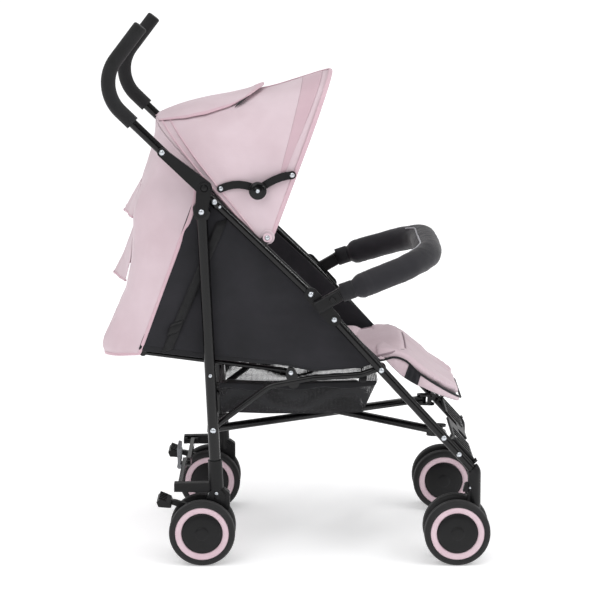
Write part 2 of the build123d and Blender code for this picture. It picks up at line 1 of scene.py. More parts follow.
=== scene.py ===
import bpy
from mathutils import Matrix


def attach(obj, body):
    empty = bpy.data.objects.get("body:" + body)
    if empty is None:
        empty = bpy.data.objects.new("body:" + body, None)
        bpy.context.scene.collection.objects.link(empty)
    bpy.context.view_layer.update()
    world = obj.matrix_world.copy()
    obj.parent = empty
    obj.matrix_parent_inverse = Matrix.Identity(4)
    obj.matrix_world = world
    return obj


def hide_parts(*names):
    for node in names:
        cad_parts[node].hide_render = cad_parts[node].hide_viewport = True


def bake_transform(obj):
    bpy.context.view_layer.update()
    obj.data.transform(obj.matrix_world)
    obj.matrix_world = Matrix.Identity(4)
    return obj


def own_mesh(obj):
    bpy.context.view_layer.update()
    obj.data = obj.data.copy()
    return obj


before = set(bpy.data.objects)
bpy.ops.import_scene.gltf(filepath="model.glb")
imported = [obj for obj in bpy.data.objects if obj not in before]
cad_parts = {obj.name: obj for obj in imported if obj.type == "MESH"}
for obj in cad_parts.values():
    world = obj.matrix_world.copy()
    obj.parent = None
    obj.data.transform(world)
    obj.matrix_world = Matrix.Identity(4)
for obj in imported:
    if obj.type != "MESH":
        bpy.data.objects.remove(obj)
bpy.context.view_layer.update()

import math
import bmesh
import bpy
from mathutils import Vector, noise

print("frame loaded:", len(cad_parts), "nodes")
mm = 0.001
sides = (("right", -1), ("left", 1))  # y is negative on the right side
waveScale = 320.0  # a wave texture of this scale has bands about one millimetre apart
creaseMm = 1000 / 14.0  # size of the soft creases in the cloth


def linearColour(hexText):  # sRGB hex to linear rgba
    values = []
    for start in (0, 2, 4):
        part = int(hexText[start:start + 2], 16) / 255
        values.append(part / 12.92 if part <= 0.04045 else ((part + 0.055) / 1.055) ** 2.4)
    return (*values, 1.0)


def addNode(tree, kind, settings=None, inputs=None, feeds=None):
    # inputs are values or sockets to link from, feeds are the sockets that its outputs lead to
    node = tree.nodes.new(kind)
    for key, value in (settings or {}).items():
        setattr(node, key, value)
    for key, value in (inputs or {}).items():
        if isinstance(value, bpy.types.NodeSocket):
            tree.links.new(value, node.inputs[key])
        else:
            node.inputs[key].default_value = value
    for key, socket in (feeds or {}).items():
        tree.links.new(node.outputs[key], socket)
    return node


def startMaterial(name, **sockets):
    material = bpy.data.materials.new(name)
    material.use_nodes = True
    tree = material.node_tree
    shader = tree.nodes["Principled BSDF"]
    for key, value in sockets.items():
        shader.inputs[key.replace("_", " ")].default_value = value
    place = addNode(tree, "ShaderNodeTexCoord").outputs["Object"]
    return material, tree, shader, place


def colourPatches(tree, shader, place, dark, light, size, rough=None):
    # slow drift between two near shades, size in mm, and between two roughness values
    patches = addNode(tree, "ShaderNodeTexNoise", None,
                      {"Vector": place, "Scale": 1000 / size, "Detail": 3.0}).outputs["Fac"]
    ramp = addNode(tree, "ShaderNodeValToRGB", None, {"Fac": patches}, {"Color": shader.inputs["Base Color"]})
    for element, spot, shade in zip(ramp.color_ramp.elements, (0.32, 0.68), (dark, light)):
        element.position = spot
        element.color = linearColour(shade)
    if rough:
        addNode(tree, "ShaderNodeMapRange", None, {"Value": patches, "To Min": rough[0], "To Max": rough[1]},
                {"Result": shader.inputs["Roughness"]})


def wovenCloth(name, dark, light, threadMm, sheen, rough, creaseDepth):
    # woven polyester: matt, with a soft bright edge from the fibres that stand off it
    material, tree, shader, place = startMaterial(name, Sheen_Weight=sheen, Sheen_Roughness=0.45, IOR=1.5,
                                                  Specular_IOR_Level=0.3)
    colourPatches(tree, shader, place, dark, light, 95, (rough - 0.05, rough + 0.05))
    # the thread is about half this size, drawn coarser so that the cross of the weave shows
    bands = [addNode(tree, "ShaderNodeTexWave", {"bands_direction": direction},
                     {"Vector": place, "Scale": waveScale / threadMm}).outputs["Fac"] for direction in "XZY"]
    cross = addNode(tree, "ShaderNodeMath", {"operation": "MAXIMUM"}, {0: bands[0], 1: bands[1]})
    weave = addNode(tree, "ShaderNodeMath", {"operation": "ADD"}, {0: cross.outputs[0], 1: bands[2]})
    fine = addNode(tree, "ShaderNodeBump", None,
                   {"Height": weave.outputs[0], "Strength": 0.16, "Distance": 0.0003})
    creases = addNode(tree, "ShaderNodeTexNoise", None,
                      {"Vector": place, "Scale": 1000 / creaseMm, "Detail": 4.0, "Distortion": 0.7})
    addNode(tree, "ShaderNodeBump", None,
            {"Height": creases.outputs["Fac"], "Strength": 0.5, "Distance": creaseDepth,
             "Normal": fine.outputs["Normal"]}, {"Normal": shader.inputs["Normal"]})
    return material


def powderCoat(name, shade, rough):
    # steel tube with a gloss powder coat: deep black, a thin light line along the tube, faint orange peel
    material, tree, shader, place = startMaterial(name, IOR=1.5, Roughness=rough, Specular_IOR_Level=0.3,
                                                  Coat_Weight=0.12, Coat_Roughness=0.08)
    colourPatches(tree, shader, place, shade[0], shade[1], 60, (rough - 0.04, rough + 0.06))
    peel = addNode(tree, "ShaderNodeTexNoise", None, {"Vector": place, "Scale": 700.0, "Detail": 2.0})
    addNode(tree, "ShaderNodeBump", None,
            {"Height": peel.outputs["Fac"], "Strength": 0.12, "Distance": 0.0002},
            {"Normal": shader.inputs["Normal"]})
    return material


def mouldedPlastic(name, dark, light, rough, grain, grainMm=0.9):
    # injection moulded nylon or polypropylene: an even skin with a fine spark-eroded grain
    material, tree, shader, place = startMaterial(name, IOR=1.49, Roughness=rough, Specular_IOR_Level=0.3)
    colourPatches(tree, shader, place, dark, light, 40, (rough - 0.05, rough + 0.07))
    pits = addNode(tree, "ShaderNodeTexVoronoi", None, {"Vector": place, "Scale": 1000 / grainMm})
    addNode(tree, "ShaderNodeBump", None,
            {"Height": pits.outputs["Distance"], "Strength": grain, "Distance": 0.0003},
            {"Normal": shader.inputs["Normal"]})
    return material


def foamRubber(name, dark, light, rough, poreMm, depth):
    # closed-cell foam: no shine, a soft skin with small pores
    material, tree, shader, place = startMaterial(name, IOR=1.45, Roughness=rough, Sheen_Weight=0.12,
                                                  Sheen_Roughness=0.5)
    colourPatches(tree, shader, place, dark, light, 25, (rough - 0.06, rough + 0.05))
    pores = addNode(tree, "ShaderNodeTexVoronoi", None, {"Vector": place, "Scale": 1000 / poreMm})
    soft = addNode(tree, "ShaderNodeTexNoise", None, {"Vector": place, "Scale": 90.0, "Detail": 4.0})
    fine = addNode(tree, "ShaderNodeBump", None,
                   {"Height": pores.outputs["Distance"], "Strength": depth, "Distance": 0.0004})
    addNode(tree, "ShaderNodeBump", None,
            {"Height": soft.outputs["Fac"], "Strength": 0.25, "Distance": 0.0006,
             "Normal": fine.outputs["Normal"]}, {"Normal": shader.inputs["Normal"]})
    return material


def zincPlate(name):
    # blue passivated zinc on steel: bright, slightly cold, with faint turning marks
    material, tree, shader, place = startMaterial(name, Metallic=1.0, Roughness=0.26)
    colourPatches(tree, shader, place, "B9BEC4", "DDE1E6", 6, (0.2, 0.36))
    marks = addNode(tree, "ShaderNodeTexNoise", None, {"Vector": place, "Scale": 1400.0, "Detail": 2.0})
    addNode(tree, "ShaderNodeBump", None,
            {"Height": marks.outputs["Fac"], "Strength": 0.1, "Distance": 0.0001},
            {"Normal": shader.inputs["Normal"]})
    return material


def openMesh(name, holeMm):
    # knitted polyester mesh: black yarn with round holes that the light comes through
    material, tree, shader, place = startMaterial(name, IOR=1.5, Roughness=0.75, Sheen_Weight=0.2)
    colourPatches(tree, shader, place, "101013", "1B1B1F", 60)
    # the holes are drawn coarser than real ones so that they show
    holes = addNode(tree, "ShaderNodeTexVoronoi", None,
                    {"Vector": place, "Scale": 1000 / holeMm, "Randomness": 0.12}).outputs["Distance"]
    addNode(tree, "ShaderNodeMapRange", None,
            {"Value": holes, "From Min": 0.34, "From Max": 0.42, "To Min": 0.25, "To Max": 1.0},
            {"Result": shader.inputs["Alpha"]})
    addNode(tree, "ShaderNodeBump", None, {"Height": holes, "Strength": 0.3, "Distance": 0.0005},
            {"Normal": shader.inputs["Normal"]})
    return material


def webbing(name, dark, light, ribMm):
    # flat woven nylon strap with fine ribs across it
    material, tree, shader, place = startMaterial(name, IOR=1.5, Roughness=0.7, Sheen_Weight=0.1,
                                                  Specular_IOR_Level=0.35)
    colourPatches(tree, shader, place, dark, light, 12)
    ribs = addNode(tree, "ShaderNodeTexWave", {"bands_direction": "Z"},
                   {"Vector": place, "Scale": waveScale / ribMm})
    addNode(tree, "ShaderNodeBump", None,
            {"Height": ribs.outputs["Fac"], "Strength": 0.4, "Distance": 0.0004},
            {"Normal": shader.inputs["Normal"]})
    return material


pinkCanvas = wovenCloth("pinkPolyesterCanvas", "CEB9C0", "D9C6CD", 1.4, 0.2, 0.82, 0.0035)
pinkBinding = wovenCloth("pinkBindingTape", "CEAEB9", "D6B8C1", 1.1, 0.3, 0.8, 0.0006)
# darker pink for the band behind the front edge of the canopy: painted shade, drawn as a darker cloth colour
pinkShadeBand = wovenCloth("pinkPaintedShadeBand", "C7AAB4", "CFB3BC", 1.4, 0.3, 0.82, 0.002)
blackCanvas = wovenCloth("blackPolyesterCanvas", "1B1B1F", "27262B", 1.4, 0.22, 0.78, 0.004)
blackBinding = wovenCloth("blackBindingTape", "141417", "222226", 1.0, 0.15, 0.75, 0.0006)
greyPinkPiping = wovenCloth("greyPinkPiping", "8E7A82", "A08C94", 0.9, 0.2, 0.7, 0.0004)
greyPiping = wovenCloth("greyReflectivePiping", "8F9096", "B9BABF", 0.8, 0.2, 0.5, 0.0003)
blackTube = powderCoat("blackPowderCoatedSteel", ("030304", "060607"), 0.2)
blackPlastic = mouldedPlastic("blackMouldedNylon", "070708", "0E0E10", 0.38, 0.18)
glossPlastic = mouldedPlastic("blackGlossAbs", "030304", "070708", 0.18, 0.05)
greyPlastic = mouldedPlastic("greyMouldedPolypropylene", "7E8084", "96989C", 0.5, 0.2)
ringPlastic = mouldedPlastic("pinkMouldedAbs", "D6BAC4", "DFC8D0", 0.36, 0.06)
gripFoam = foamRubber("blackNitrileFoam", "101011", "1A1A1C", 0.88, 1.3, 0.3)
tyreFoam = foamRubber("darkEvaTyre", "121213", "1B1B1C", 0.72, 1.6, 0.2)
zinc = zincPlate("bluePassivatedZinc")
basketMesh = openMesh("blackKnittedMesh", 2.6)
strapWeb = webbing("blackNylonWebbing", "0E0E10", "161618", 1.8)
print("materials ready")


def finishPiece(name, vertices, faces, material, body):
    # a mesh with smooth faces turned outward, on its body
    mesh = bpy.data.meshes.new(name)
    mesh.from_pydata([tuple(point) for point in vertices], [], faces)
    mesh.validate()
    piece = bpy.data.objects.new(name, mesh)
    bpy.context.scene.collection.objects.link(piece)
    mesh.materials.append(material)
    for polygon in mesh.polygons:
        polygon.use_smooth = True
    edit = bmesh.new()
    edit.from_mesh(mesh)
    bmesh.ops.recalc_face_normals(edit, faces=edit.faces)
    edit.to_mesh(mesh)
    edit.free()
    if body:
        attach(piece, body)
    return piece


def bakeModifiers(piece):
    graph = bpy.context.evaluated_depsgraph_get()
    mesh = bpy.data.meshes.new_from_object(piece.evaluated_get(graph))
    piece.modifiers.clear()
    piece.data = mesh
    for polygon in mesh.polygons:
        polygon.use_smooth = True


def gridPiece(name, rows, material, body, closed, capped=False):
    # rows of points joined by four-sided faces; closed rows run round, caps shut both ends
    high, wide = len(rows), len(rows[0])
    faces = []
    for line in range(high - 1):
        for column in range(wide if closed else wide - 1):
            ahead = (column + 1) % wide
            faces.append((line * wide + column, line * wide + ahead, (line + 1) * wide + ahead,
                          (line + 1) * wide + column))
    if capped:
        faces.append(tuple(range(wide)))
        faces.append(tuple((high - 1) * wide + step for step in range(wide)))
    return finishPiece(name, [point for row in rows for point in row], faces, material, body)


def gridSheet(name, rows, material, body, thickness=0.0, levels=1, offset=0.0):
    # rows of points become one curved sheet of real thickness
    piece = gridPiece(name, rows, material, body, False)
    if thickness:
        solid = piece.modifiers.new("thickness", "SOLIDIFY")
        solid.thickness = thickness
        solid.offset = offset
    if levels:
        smoother = piece.modifiers.new("smooth", "SUBSURF")
        smoother.levels = levels
        smoother.render_levels = levels
    bakeModifiers(piece)
    return piece


def roundTube(name, points, radii, material, body, around):
    # tube of changing radius through the given points
    rows = []
    count = len(points)
    points = [Vector(point) for point in points]
    up = Vector((0.0, 0.0, 1.0))
    for index, point in enumerate(points):
        ahead = (points[min(index + 1, count - 1)] - points[max(index - 1, 0)]).normalized()
        across = ahead.cross(up)
        if across.length < 0.15:
            across = ahead.cross(Vector((0.0, 1.0, 0.0)))
        across.normalize()
        top = across.cross(ahead).normalized()
        radius = radii[index] if isinstance(radii, (list, tuple)) else radii
        rows.append([point + across * (radius * math.cos(2 * math.pi * step / around))
                     + top * (radius * math.sin(2 * math.pi * step / around)) for step in range(around)])
    return gridPiece(name, rows, material, body, True, True)


def smoothLine(points, steps=10):
    # soft curve through the points
    points = [Vector(point) for point in points]
    padded = [points[0] * 2 - points[1]] + points + [points[-1] * 2 - points[-2]]
    line = []
    for index in range(1, len(padded) - 2):
        before, first, last, after = padded[index - 1:index + 3]
        for step in range(steps):
            share = step / steps
            line.append(0.5 * ((2 * first) + (last - before) * share
                               + (2 * before - 5 * first + 4 * last - after) * share ** 2
                               + (3 * first - before - 3 * last + after) * share ** 3))
    line.append(points[-1])
    return line


def lathe(name, profile, centre, outward, material, body, around=72):
    # profile of (radius, distance outward), turned about the Y direction
    rows = []
    for radius, reach in profile:
        rows.append([Vector((centre[0] + radius * mm * math.cos(2 * math.pi * step / around),
                             centre[1] + outward * reach * mm,
                             centre[2] + radius * mm * math.sin(2 * math.pi * step / around)))
                     for step in range(around)])
    return gridPiece(name, rows, material, body, True)


def wrinkle(point, size, depth, seed):
    # soft random fold: size of the pattern, depth of the fold, seed for another pattern
    place = Vector(point) / size + Vector((seed, seed * 1.7, -seed))
    return depth * (noise.noise(place) + 0.5 * noise.noise(place * 2.3))


def alongLine(line, share):
    # point of a line of (x, z) at the given share of its length
    points = [Vector((x, 0, z)) for x, z in line]
    lengths = [(last - first).length for first, last in zip(points, points[1:])]
    target = share * sum(lengths)
    for first, last, length in zip(points, points[1:], lengths):
        if target <= length or last is points[-1]:
            return first.lerp(last, min(1.0, target / length))
        target -= length
    return points[-1]


def stepCurve(share, table):
    # straight-line lookup in a list of (place, value)
    for (low, lowValue), (high, highValue) in zip(table, table[1:]):
        if share <= high:
            return lowValue + (highValue - lowValue) * max(0.0, (share - low) / (high - low))
    return table[-1][1]


def smoothPiece(piece, levels):
    smoother = piece.modifiers.new("smooth", "SUBSURF")
    smoother.levels = levels
    bakeModifiers(piece)


airFill = {"pressure": 4.0, "stiffness": 14.0, "frames": 20}


def swell(piece, voxel, cap):
    # fill the pad with air: remesh, blow up, hold each point near where it began
    remesh = piece.modifiers.new("remesh", "REMESH")
    remesh.mode = "VOXEL"
    remesh.voxel_size = voxel
    bakeModifiers(piece)
    start = [vertex.co.copy() for vertex in piece.data.vertices]
    cloth = piece.modifiers.new("cloth", "CLOTH")
    cloth.settings.use_pressure = True
    cloth.settings.uniform_pressure_force = airFill["pressure"]
    cloth.settings.effector_weights.gravity = 0.0
    cloth.settings.tension_stiffness = airFill["stiffness"]
    cloth.settings.compression_stiffness = airFill["stiffness"]
    cloth.settings.quality = 4
    cloth.point_cache.frame_start = 1
    cloth.point_cache.frame_end = airFill["frames"]
    for step in range(1, airFill["frames"] + 1):
        bpy.context.scene.frame_set(step)
    bakeModifiers(piece)
    for vertex, began in zip(piece.data.vertices, start):
        move = vertex.co - began
        if move.length > cap:
            vertex.co = began + move * (cap / move.length)
    bpy.context.scene.frame_set(1)
    smoothPiece(piece, 1)


def dressNode(node, material):
    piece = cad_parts[node]
    piece.data.materials.clear()
    piece.data.materials.append(material)
    return piece


# frame, hinges and hubs carried over from the solids
for side, sign in sides:
    for part in ("front_tube", "rear_leg", "side_rail", "recline_arm", "x_bar", "spreader_link", "yoke"):
        dressNode(side + "_" + part, blackTube)
    for part in ("caster_socket", "bumper_socket", "lever", "rear_hub", "caster_fork", "brake_pedal",
                 "footrest", "canopy_blade", "rear_stay", "front_stay", "bumper_arm"):
        dressNode(side + "_" + part, blackPlastic)
    dressNode(side + "_bumper_button", glossPlastic)
    dressNode(side + "_grip", gripFoam)
dressNode("spreader_pedal", greyPlastic)
for bow in ("canopy_front_arch", "canopy_rear_bow"):
    piece = dressNode(bow, blackPlastic)
    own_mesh(piece)
print("frame dressed")

# wheels: foam tyre, pink ring and black cap on both faces; profiles are (radius, distance outward)
wheel = {
    "radius": 65.0, "base": 250.0, "track": 200.0, "twin": 27.0,  # half distances between the wheels
    "tyre": [(52.8, -11.2), (54.5, -12.4), (58.0, -13.0), (61.5, -12.2), (63.6, -10.2), (64.7, -7.0),
             (65.0, -3.4), (65.0, -1.4), (64.0, -0.9), (64.0, 0.9), (65.0, 1.4), (65.0, 3.4), (64.7, 7.0),
             (63.6, 10.2), (61.5, 12.2), (58.0, 13.0), (54.5, 12.4), (52.8, 11.2), (52.6, 0.0),
             (52.8, -11.2)],
    "ring": [(52.7, 9.2), (52.5, 10.4), (51.6, 11.0), (50.0, 10.9), (44.0, 9.6), (41.4, 8.6), (40.4, 7.4),
             (40.2, 5.5)],
    "cap": [(40.3, 6.2), (39.9, 8.4), (38.9, 9.4), (37.4, 9.9), (35.0, 10.6), (27.0, 11.4), (15.0, 11.9),
            (12.6, 12.0), (12.2, 12.5), (10.8, 12.8), (6.0, 12.9), (0.01, 12.9)]}
for side, sign in sides:
    for end, ahead in (("front", 1), ("rear", -1)):
        for place, outward in (("outer", 1), ("inner", -1)):
            body = f"{side}_{end}_{place}_wheel"
            centre = (ahead * wheel["base"] * mm, sign * (wheel["track"] * mm + outward * wheel["twin"] * mm),
                      wheel["radius"] * mm)
            tyre = lathe(body + "Tyre", wheel["tyre"], centre, 1, tyreFoam, body, 96)
            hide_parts(body)
            for face in (-1, 1):
                tag = "Out" if face == sign else "In"
                lathe(body + "Ring" + tag, wheel["ring"], centre, face, ringPlastic, body)
                lathe(body + "Cap" + tag, wheel["cap"], centre, face, blackPlastic, body)
print("wheels done")

# bolts, rivets and caps; profiles are (radius, distance outward)
boltShapes = {
    "bolt": [(0.01, 3.0), (2.4, 2.9), (4.2, 2.2), (5.4, 1.0), (5.7, 0.0), (5.7, -1.0)],
    "socket": [(0.01, 1.2), (1.9, 1.2), (2.2, 3.0), (4.0, 2.5), (5.4, 1.2), (5.7, 0.0), (5.7, -1.0)],
    "rivet": [(0.01, 1.8), (1.6, 1.7), (3.0, 1.0), (3.6, 0.0), (3.6, -0.8)],
    "knob": [(0.01, 3.4), (4.0, 3.3), (4.6, 2.0), (10.0, 2.2), (13.5, 1.6), (15.5, 0.4), (15.8, -0.6)],
    "washer": [(5.2, 0.9), (8.2, 0.8), (8.8, 0.2), (8.8, -0.6)],
    "button": [(0.01, 2.2), (5.5, 2.0), (7.0, 1.2), (7.4, 0.0), (7.4, -2.0)]}
boltList = [  # body, x, z, distance of the seat from the middle plane, shape, size
    ("lever", -321, 811, 219.3, "bolt", 1.0), ("frame", -222, 715.2, 211.0, "socket", 0.95),
    ("frame", -212, 705.6, 209.0, "rivet", 0.9), ("lever", -247, 697, 219.3, "bolt", 1.0),
    ("frame", -37, 536, 213.3, "bolt", 1.0), ("frame", 8, 486.5, 213.3, "bolt", 1.0),
    ("frame", 100, 385.3, 208.8, "bolt", 0.95), ("frame", 223, 250, 208.9, "bolt", 0.95),
    ("frame", 253, 217, 208.9, "bolt", 0.9), ("leg", -227.6, 266, 210.8, "bolt", 1.0),
    ("leg", -232.5, 375, 210.8, "rivet", 1.0), ("leg", -221.9, 140, 213.9, "rivet", 1.0),
    ("frame", -121, 645, 202.9, "bolt", 0.9), ("rail", -76, 376, 187.0, "bolt", 0.85),
    ("frame", 276, 150, 209.5, "rivet", 0.8), ("caster", 250, 65, 213.0, "rivet", 0.8),
    ("rear_stay", -210.3, 739.5, 198.7, "bolt", 0.85), ("front_stay", -73.1, 765.9, 202.6, "bolt", 0.85),
    ("front_stay", -139, 737, 218.4, "rivet", 1.1),
]
capList = [  # name, shape, x, z, distance of the seat from the middle plane, material, body, steps round
    ("StayKnobCap", "knob", -139, 737, 215.4, glossPlastic, "_front_stay", 40),
    ("CanopyWasher", "washer", -121, 645, 202.9, ringPlastic, "_frame", 32),
    ("LockButton", "button", -241, 743, 219.6, blackPlastic, "_lever", 32)]
for side, sign in sides:
    for number, (body, boltX, boltZ, seat, shape, size) in enumerate(boltList):
        profile = [(radius * size, reach * size) for radius, reach in boltShapes[shape]]
        centre = (boltX * mm, sign * seat * mm, boltZ * mm)
        lathe(f"{side}Bolt{number}", profile, centre, sign, zinc, side + "_" + body, 24)
    for name, shape, capX, capZ, seat, material, body, around in capList:
        lathe(side + name, boltShapes[shape], (capX * mm, sign * seat * mm, capZ * mm), sign, material,
              side + body, around)
print("bolts done")

# canopy: two halves that meet in a seam over the middle, in degrees about the pivot and in mm
canopy = {"pivot": (-121.0, 645.0), "half": 194.0, "angles": [67.3, 84.0, 110.0, 136.0],  # front to rear
          "heights": [340.0, 284.0, 273.0, 312.0], "low": 12.0, "crown": 0.84, "shoulder": 0.42, "foot": 0.3,
          "sag": 3.0, "fold": 2.2, "frontRay": 69.4, "frontOffset": 12.0, "cloth": 1.6, "binding": 9.0,
          "bandRear": (77.0, 78.8), "bandFront": (70.5, 74.0), "bandEnd": 0.7,  # band of painted shade, at the crown, at the end
          "edgeDrop": 7.0, "edgeWidth": 15.0, "rearSeam": (131.0, 20.0),
          "seams": ((128.5, 14.0), (130.4, 18.0)),  # angle, distance behind the pivot
          "bows": ((133.0, 3.2), (69.0, 5.0)), "bowLift": 4.2, "bend": (0.58, 0.11)}  # place, width
frontEnd, rearEnd = canopy["angles"][0], canopy["angles"][-1]


def canopyHeight(angle):
    angles, heights = canopy["angles"], canopy["heights"]
    total = 0.0
    for i, own in enumerate(angles):  # one smooth cubic through the four sections
        weight = 1.0
        for j, other in enumerate(angles):
            if i != j:
                weight *= (angle - other) / (own - other)
        total += weight * heights[i]
    return total


def canopyRadius(angle, share):
    # distance from the pivot line, place across and outward direction of the arch at one angle
    height = canopyHeight(min(rearEnd, max(frontEnd, angle)))
    shoulder = height * canopy["shoulder"]
    climb = 1 - abs(share)
    foot = canopy["foot"]
    if climb < foot:
        return canopy["low"] + (shoulder - canopy["low"]) * climb / foot, 1.0, 1.0, 0.0
    turn = (climb - foot) / (1 - foot) * math.pi / 2
    across = max(0.0, math.cos(turn)) ** canopy["crown"]
    radius = shoulder + (height - shoulder) * math.sin(turn) ** canopy["crown"]
    return radius, across, math.cos(turn), math.sin(turn)


def canopyPoint(angle, share, lift=0.0):
    # share runs from -1 at the right foot over 0 at the crown to 1 at the left foot
    radius, across, outY, outR = canopyRadius(angle, share)
    sideSign = -1 if share < 0 else 1
    between = min(1.0, max(0.0, (angle - frontEnd) / (rearEnd - frontEnd)))
    dip = canopy["sag"] * math.sin(math.pi * between) ** 2 * (0.3 + 0.7 * abs(math.sin(math.pi * share)))
    slope = math.radians(angle)
    ahead = max(0.0, radius * (slope - math.radians(frontAngle(share))))
    if ahead < canopy["edgeWidth"]:  # the padded front edge rolls down
        lift -= canopy["edgeDrop"] * (1 - ahead / canopy["edgeWidth"]) ** 2
    bend, reach = canopy["bend"]
    for bow, spread in canopy["bows"]:  # the cloth lies over the bends of the two bows
        away = ((angle - bow) / spread) ** 2 + ((abs(share) - bend) / reach) ** 2
        lift += canopy["bowLift"] * math.exp(-away)
    lateral = sideSign * (canopy["half"] * across + (lift - dip) * outY)
    radius += (lift - dip) * outR
    point = Vector((canopy["pivot"][0] + radius * math.cos(slope), lateral,
                    canopy["pivot"][1] + radius * math.sin(slope))) * mm
    fold = wrinkle(point, 0.07, canopy["fold"] * mm, 3.0) * math.sin(math.pi * between) ** 1.6
    point.y += fold * outY * sideSign
    point.z += fold * outR
    return point


def frontAngle(share, inset=0.0):
    # the front edge is straight in side view and passes a little ahead of the pivot
    radius = canopyRadius(frontEnd, share)[0]
    return canopy["frontRay"] - math.degrees(math.asin(min(0.95, canopy["frontOffset"] / radius))
                                             - inset / radius)


def seamAngle(share, seam):
    # straight line in side view that passes behind the pivot
    return seam[0] + math.degrees(math.asin(min(0.95, seam[1] / canopyRadius(rearEnd, share)[0])))


def rearAngle(share):
    return max(rearEnd, seamAngle(share, canopy["rearSeam"]))


def joinCanopy(piece):
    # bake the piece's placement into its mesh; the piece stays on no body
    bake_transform(piece)
    return piece


def canopyStrip(name, rearAt, frontAt, shares, lift, material, sign, thickness, columns=22, lines=36):
    # cloth between two edges, from the foot or the band's end up to the crown
    rows = []
    for line in range(lines + 1):
        share = max(1e-5, shares[0] + (shares[1] - shares[0]) * line / lines)
        rear, front = rearAt(share), frontAt(share)
        rows.append([canopyPoint(rear + (front - rear) * column / columns, sign * share, lift)
                     for column in range(columns + 1)])
    return joinCanopy(gridSheet(name, rows, material, None, thickness * mm, 1))


def canopyCord(name, seam, first, lift, radius, material, sign, steps=48):
    # piping along a seam, from its lower end up to the crown
    line = []
    for step in range(steps + 1):
        share = max(1e-5, first * (1 - step / steps))
        line.append(canopyPoint(seamAngle(share, seam), sign * share, lift))
    return joinCanopy(roundTube(name, line, radius * mm, material, None, 8))


def bandEdge(edge):
    # edge of the band of painted shade: nearly parallel to the front edge, closing on it towards the end
    return lambda share: edge[0] + (edge[1] - edge[0]) * (share / canopy["bandEnd"]) ** 4


flapShape = {"rear": 135.0, "front": 92.0, "frontCorner": 98.0, "stand": 2.8, "tip": 5.5, "cloth": 1.4,
             "edge": [(0.0, 0.15), (0.06, 0.19), (0.25, 0.25), (0.48, 0.262), (0.74, 0.228), (1.0, 0.166)]}


def flapSheet(name, outs, aheads, material, sign, thickness, lift=0.0):
    # window cover on top of the canopy, free along its front edge; out runs to the side, ahead to the front
    rows = []
    for line in range(19):
        out = outs[0] + (outs[1] - outs[0]) * line / 18
        rows.append([])
        for column in range(23):
            ahead = aheads[0] + (aheads[1] - aheads[0]) * column / 22
            share = sign * max(1e-5, out * stepCurve(ahead, flapShape["edge"]))
            front = flapShape["front"] + (flapShape["frontCorner"] - flapShape["front"]) * out ** 1.6
            angle = flapShape["rear"] + (front - flapShape["rear"]) * ahead
            flutter = 0.8 * math.sin(9 * ahead + 2 * sign) * out ** 3
            rows[-1].append(canopyPoint(angle, share, flapShape["stand"] + flapShape["tip"] * ahead ** 6
                                        + flutter + lift))
    return joinCanopy(gridSheet(name, rows, material, None, thickness * mm, 1))


for side, sign in sides:
    shell = canopyStrip(side + "CanopyShell", rearAngle, frontAngle, (1.0, 0.0), -0.8, pinkCanvas, sign,
                        canopy["cloth"])
    canopyStrip(side + "CanopyFrontBinding", lambda share: frontAngle(share, canopy["binding"]), frontAngle,
                (1.0, 0.0), 0.3, pinkBinding, sign, 2.2, 3)
    # darker strip laid on the shell behind the front binding: painted shade
    canopyStrip(side + "CanopyPaintedShade", bandEdge(canopy["bandRear"]), bandEdge(canopy["bandFront"]),
                (canopy["bandEnd"], 0.0), 0.1, pinkShadeBand, sign, 0.9, 3)
    for number, seam in enumerate(canopy["seams"]):
        canopyCord(f"{side}CanopyPiping{number}", seam, 0.96, 0.6, 1.5, pinkBinding, sign)
    flap = flapSheet(side + "CanopyFlap", (0.0, 1.0), (0.0, 1.0), pinkCanvas, sign, flapShape["cloth"])
    flapSheet(side + "CanopyFlapHem", (0.90, 1.005), (0.0, 1.0), pinkBinding, sign, 2.0, 0.5)
    flapSheet(side + "CanopyFlapLip", (0.0, 1.0), (0.93, 1.01), pinkBinding, sign, 2.0, 0.5)
    flapSheet(side + "CanopyFlapTab", (0.98, 1.26), (0.88, 1.0), blackBinding, sign, 1.4, -1.6)
    patch = [(0.01, 1.0), (12.0, 1.0), (13.6, 0.4), (14.0, -0.6), (13.4, -1.4)]
    corner = (canopy["pivot"][0] * mm, sign * (canopy["half"] + 0.4) * mm, canopy["pivot"][1] * mm)
    lathe(side + "CanopyCorner", patch, corner, sign, pinkCanvas, side + "_blade", 40)
    if sign < 0:
        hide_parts("canopy_fabric")
        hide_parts("canopy_flap")
seamPoints = [canopyPoint(rearEnd - 68.4 * step / 40, 1e-5, 0.6) for step in range(41)]  # to the front edge
joinCanopy(roundTube("canopyMiddleSeam", seamPoints, 1.1 * mm, pinkBinding, None, 8))
print("canopy done")

# rear curtain with its two hanging flaps
curtain = {"halfWidth": 187.0, "bottomZ": 411.0, "cloth": 1.8, "hemCloth": 2.6, "flapCloth": 2.2, "cord": 2.3,
           "topShare": 0.58, "fold": 4.0, "widthKept": 0.71, "corner": 0.55, "flat": 0.88,
           "back": [(862, -351), (815, -371), (760, -376), (660, -379), (600, -385), (545, -395), (490, -417),
                    (452, -436), (430, -445), (411, -438)],  # height, distance behind the middle
           "hem": [(-240, 752), (-263, 690), (-318, 549), (-370, 412)],
           "flaps": {"upper": (0.27, 0.405, 27.0, 0.36),  # top and bottom as shares of the height,
                     "lower": (0.395, 0.685, 32.0, 0.40)}}  # how far the lip stands off, half width


def heightCurve(height, table):
    # lookup in a list that runs downward
    for (high, highValue), (low, lowValue) in zip(table, table[1:]):
        if height >= low:
            share = min(1.0, (high - height) / (high - low))
            share = share * share * (3 - 2 * share) * 0.4 + share * 0.6
            return highValue + (lowValue - highValue) * max(0.0, share)
    return table[-1][1]


